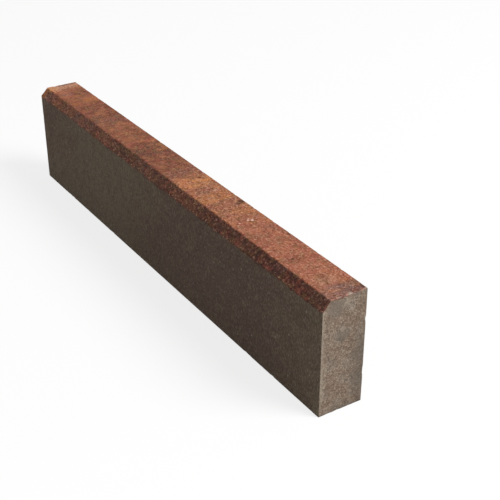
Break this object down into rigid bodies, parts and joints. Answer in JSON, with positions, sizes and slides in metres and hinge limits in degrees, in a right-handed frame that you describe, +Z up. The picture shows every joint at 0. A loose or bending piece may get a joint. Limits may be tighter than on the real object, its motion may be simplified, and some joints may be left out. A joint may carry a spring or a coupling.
{
  "type": "kerb stone",
  "caption": "Straight pressed-concrete edging kerb, tall and narrow in section, with a chamfered upper front arris and a colour-blended wearing face.",
  "frame": {"origin": "centre of the base on which the kerb stands", "axes": "+X along the kerb, +Y across it towards the plain back face, with the chamfered face in front at -Y, +Z up to the wearing face"},
  "size_m": [1, 0.08, 0.2],
  "materials": {
    "concrete": "matte"
  },
  "bodies": {
    "root": {"kerb_stone": "concrete"}
  },
  "joints": []
}
